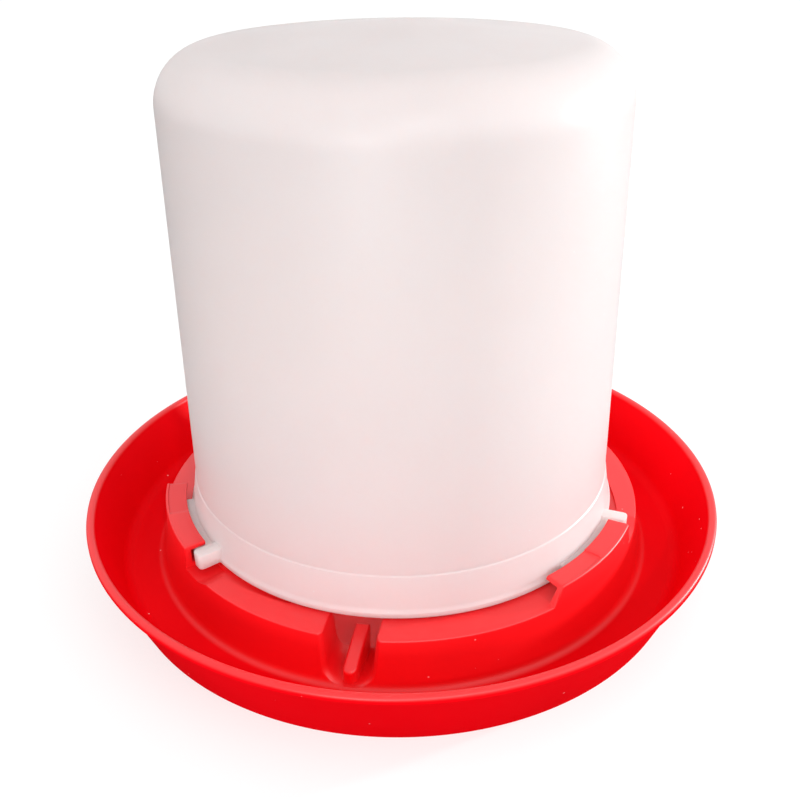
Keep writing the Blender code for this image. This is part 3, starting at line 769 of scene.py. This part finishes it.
class WATERER_OT_base(bpy.types.Operator):
    """Make the drinking base, one moulding"""
    bl_idname = "waterer.make_base"
    bl_label = "Make Drinking Base"

    def execute(self, context):
        scene = context.scene
        base, jar, finish = scene.waterer_base, scene.waterer_jar, scene.waterer_finish
        fit = worked_out(base, jar)
        piece = finished("moulded_base", base_body(base, fit))
        combine(piece, ring_tools(base, fit) + [hollow_tool(base, fit)], "DIFFERENCE")
        lean_cover_ends(piece, base, fit)
        ease_edges(piece, base.edge)
        combine(piece, entry_tools(base, jar, fit) + [notch_tool(base, fit)], "DIFFERENCE")
        combine(piece, [rib_tool(base, fit)], "UNION")
        smooth(piece)
        material, shader = plastic("red_moulded_plastic", finish.red, finish.red_deep, finish.speck,
                                   finish.red_roughness, **RED_GRAIN)
        shader.inputs["Specular IOR Level"].default_value = 0.0
        shader.inputs["Coat Roughness"].default_value = finish.red_gloss_roughness
        shader.inputs["Coat IOR"].default_value = finish.red_gloss_index
        self.polish(material, shader, base, fit, finish)
        piece.data.materials.clear()
        piece.data.materials.append(material)
        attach(piece, "base")
        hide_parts("drinking_base")
        return {"FINISHED"}

    def polish(self, material, shader, base, fit, finish):
        """Gloss on the ring, the covers and the rim, and a duller trough between them."""
        nodes, links = material.node_tree.nodes, material.node_tree.links
        place = nodes.new("ShaderNodeTexCoord")
        flat = nodes.new("ShaderNodeVectorMath")
        flat.operation = "MULTIPLY"
        flat.inputs[1].default_value = (1.0, 1.0, 0.0)
        reach = nodes.new("ShaderNodeVectorMath")
        reach.operation = "LENGTH"
        height = nodes.new("ShaderNodeSeparateXYZ")
        links.new(place.outputs["Object"], flat.inputs[0])
        links.new(flat.outputs["Vector"], reach.inputs[0])
        links.new(place.outputs["Object"], height.inputs[0])
        zones = []
        for value, start, end in (
                (reach.outputs["Value"], fit.ring_foot + base.inner_fillet, fit.ring_foot),
                (height.outputs["Z"], fit.rim_neck + base.rim_rounding, base.rim_top)):
            zone = nodes.new("ShaderNodeMapRange")
            zone.interpolation_type = "SMOOTHSTEP"
            zone.inputs["From Min"].default_value = start
            zone.inputs["From Max"].default_value = end
            zone.inputs["To Min"].default_value = finish.trough_polish
            zone.inputs["To Max"].default_value = finish.ring_polish
            links.new(value, zone.inputs["Value"])
            zones.append(zone.outputs["Result"])
        either = nodes.new("ShaderNodeMath")
        either.operation = "MAXIMUM"
        links.new(zones[0], either.inputs[0])
        links.new(zones[1], either.inputs[1])
        links.new(either.outputs[0], shader.inputs["Coat Weight"])


class WATERER_OT_jar(bpy.types.Operator):
    """Make the translucent jar with its lugs and stop fingers, one moulding"""
    bl_idname = "waterer.make_jar"
    bl_label = "Make Water Jar"

    def execute(self, context):
        scene = context.scene
        base, jar, finish = scene.waterer_base, scene.waterer_jar, scene.waterer_finish
        fit = worked_out(base, jar)
        piece = finished("milky_jar", jar_body(jar, fit))
        combine(piece, lug_tools(jar, fit), "UNION")
        ease_edges(piece, jar.edge)
        smooth(piece)
        # The milky colours carry a painted pink tint for red light bounced up from the base, over the jar's
        # own milky white.
        material, shader = plastic("milky_moulded_plastic", finish.milky, finish.milky_deep, finish.cloud,
                                   finish.milky_roughness, **MILKY_GRAIN)
        shader.inputs["Transmission Weight"].default_value = finish.milky_clarity
        shader.inputs["Subsurface Weight"].default_value = finish.milky_spread
        shader.inputs["Subsurface Radius"].default_value = finish.milky_tint
        shader.inputs["Subsurface Scale"].default_value = finish.milky_depth
        shader.inputs["Specular IOR Level"].default_value = finish.milky_gloss
        piece.data.materials.clear()
        piece.data.materials.append(material)
        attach(piece, "jar")
        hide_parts("water_jar")
        return {"FINISHED"}


def aim_light(name, watts, size, offset, target):
    """Square area light that stands off from a point and faces it."""
    lamp = bpy.data.lights.new(name, "AREA")
    lamp.energy = watts
    lamp.size = size
    holder = bpy.data.objects.new(name, lamp)
    holder.location = target + Vector(offset)
    holder.rotation_euler = (-Vector(offset)).to_track_quat("-Z", "Y").to_euler()
    bpy.context.scene.collection.objects.link(holder)


class WATERER_OT_stage(bpy.types.Operator):
    """Make the floor, the even sky, the lights and the camera"""
    bl_idname = "waterer.make_stage"
    bl_label = "Make Stage"

    def execute(self, context):
        stage = context.scene.waterer_stage
        self.floor(stage)
        self.sky(context.scene, stage)
        target = Vector((0.0, 0.0, stage.aim_height))
        low = Vector((cos(stage.key_turn) * cos(stage.key_height),
                      sin(stage.key_turn) * cos(stage.key_height), sin(stage.key_height)))
        aim_light("key_light", stage.key_power, stage.key_size, low * stage.key_distance, target)
        aim_light("side_light", stage.side_power, stage.side_size, stage.side_place, target)
        aim_light("fill_light", stage.fill_power, stage.fill_size, stage.fill_place, target)
        aim_light("front_light", stage.front_power, stage.front_size, stage.front_place, target)
        self.glow(context.scene, stage)
        self.camera(context.scene, stage)
        return {"FINISHED"}

    def glow(self, scene, stage):
        """Weak light inside the jar, for the light that its thin plastic lets in."""
        lamp = bpy.data.lights.new("jar_glow", "POINT")
        lamp.energy = stage.glow_power
        lamp.shadow_soft_size = stage.glow_size
        holder = bpy.data.objects.new("jar_glow", lamp)
        holder.location = (0.0, 0.0, stage.glow_height)
        holder.visible_transmission = False
        holder.visible_glossy = False
        scene.collection.objects.link(holder)

    def floor(self, stage):
        """Pale floor that shows as white and keeps the shadow."""
        shape = bmesh.new()
        bmesh.ops.create_grid(shape, x_segments=1, y_segments=1, size=stage.floor_size / 2.0)
        ground = finished("pale_floor", shape)
        material = bpy.data.materials.new("pale_floor")
        material.use_nodes = True
        nodes, links = material.node_tree.nodes, material.node_tree.links
        shader = nodes["Principled BSDF"]
        shader.inputs["Base Color"].default_value = (*stage.floor, 1.0)
        shader.inputs["Roughness"].default_value = 0.9
        shader.inputs["Emission Color"].default_value = (1.0, 1.0, 1.0, 1.0)
        seen = nodes.new("ShaderNodeLightPath")
        lift = nodes.new("ShaderNodeMath")
        lift.operation = "MULTIPLY"
        lift.inputs[1].default_value = stage.floor_lift
        links.new(seen.outputs["Is Camera Ray"], lift.inputs[0])
        links.new(lift.outputs[0], shader.inputs["Emission Strength"])
        ground.data.materials.append(material)

    def sky(self, scene, stage):
        """Even light that the camera, gloss and clear plastic see as white."""
        world = bpy.data.worlds.new("studio")
        world.use_nodes = True
        scene.world = world
        nodes, links = world.node_tree.nodes, world.node_tree.links
        backdrop = nodes["Background"]
        backdrop.inputs["Color"].default_value = (1.0, 1.0, 1.0, 1.0)
        path = nodes.new("ShaderNodeLightPath")
        shown = path.outputs["Is Camera Ray"]
        for label in ("Is Glossy Ray", "Is Transmission Ray"):
            either = nodes.new("ShaderNodeMath")
            either.operation = "MAXIMUM"
            links.new(shown, either.inputs[0])
            links.new(path.outputs[label], either.inputs[1])
            shown = either.outputs[0]
        strength = nodes.new("ShaderNodeMapRange")
        strength.inputs["To Min"].default_value = stage.sky
        strength.inputs["To Max"].default_value = 1.0
        links.new(shown, strength.inputs["Value"])
        links.new(strength.outputs["Result"], backdrop.inputs["Strength"])

    def camera(self, scene, stage):
        """Camera at the photograph's viewing angle."""
        back = Vector((0.0, -cos(stage.elevation), sin(stage.elevation)))
        place = Vector((stage.aim_side, stage.aim_depth, 0.0)) + back * stage.distance
        side = Vector((1.0, 0.0, 0.0))
        up = side.cross(-back)
        right = side * cos(stage.roll) + up * sin(stage.roll)
        above = up * cos(stage.roll) - side * sin(stage.roll)
        turn = Matrix.Rotation(stage.turn, 3, "Z")
        seat = Matrix((turn @ right, turn @ above, turn @ back)).transposed().to_4x4()
        seat.translation = turn @ place + Vector((0.0, 0.0, stage.aim_height))
        lens = bpy.data.cameras.new("camera")
        lens.sensor_width = 36.0
        lens.lens = stage.lens
        lens.clip_start = 0.005
        holder = bpy.data.objects.new("camera", lens)
        holder.matrix_world = seat
        scene.collection.objects.link(holder)
        scene.camera = holder
        scene.view_settings.view_transform = "Standard"


class WATERER_PT_panel(bpy.types.Panel):
    """Lists the pieces of the waterer and their settings"""
    bl_idname = "WATERER_PT_panel"
    bl_label = "Poultry Waterer"
    bl_space_type = "VIEW_3D"
    bl_region_type = "UI"
    bl_category = "Waterer"

    def draw(self, context):
        scene = context.scene
        for maker, settings in ((WATERER_OT_base, scene.waterer_base), (WATERER_OT_jar, scene.waterer_jar),
                                (WATERER_OT_stage, scene.waterer_stage), (None, scene.waterer_finish)):
            box = self.layout.box()
            if maker:
                box.operator(maker.bl_idname)
            for name in settings.bl_rna.properties.keys():
                if name not in ("rna_type", "name"):
                    box.prop(settings, name)


CLASSES = (WATERER_PG_base, WATERER_PG_jar, WATERER_PG_finish, WATERER_PG_stage,
           WATERER_OT_base, WATERER_OT_jar, WATERER_OT_stage, WATERER_PT_panel)


def register():
    """Register the classes and hang the settings on the scene."""
    for made in CLASSES:
        bpy.utils.register_class(made)
    bpy.types.Scene.waterer_base = bpy.props.PointerProperty(type=WATERER_PG_base)
    bpy.types.Scene.waterer_jar = bpy.props.PointerProperty(type=WATERER_PG_jar)
    bpy.types.Scene.waterer_finish = bpy.props.PointerProperty(type=WATERER_PG_finish)
    bpy.types.Scene.waterer_stage = bpy.props.PointerProperty(type=WATERER_PG_stage)


def unregister():
    """Take the settings and the classes away again."""
    for name in ("waterer_base", "waterer_jar", "waterer_finish", "waterer_stage"):
        delattr(bpy.types.Scene, name)
    for made in reversed(CLASSES):
        bpy.utils.unregister_class(made)


def main():
    """Register the settings and make the base, the jar and the stage."""
    register()
    bpy.ops.waterer.make_base()
    bpy.ops.waterer.make_jar()
    bpy.ops.waterer.make_stage()


if __name__ == "__main__":
    main()
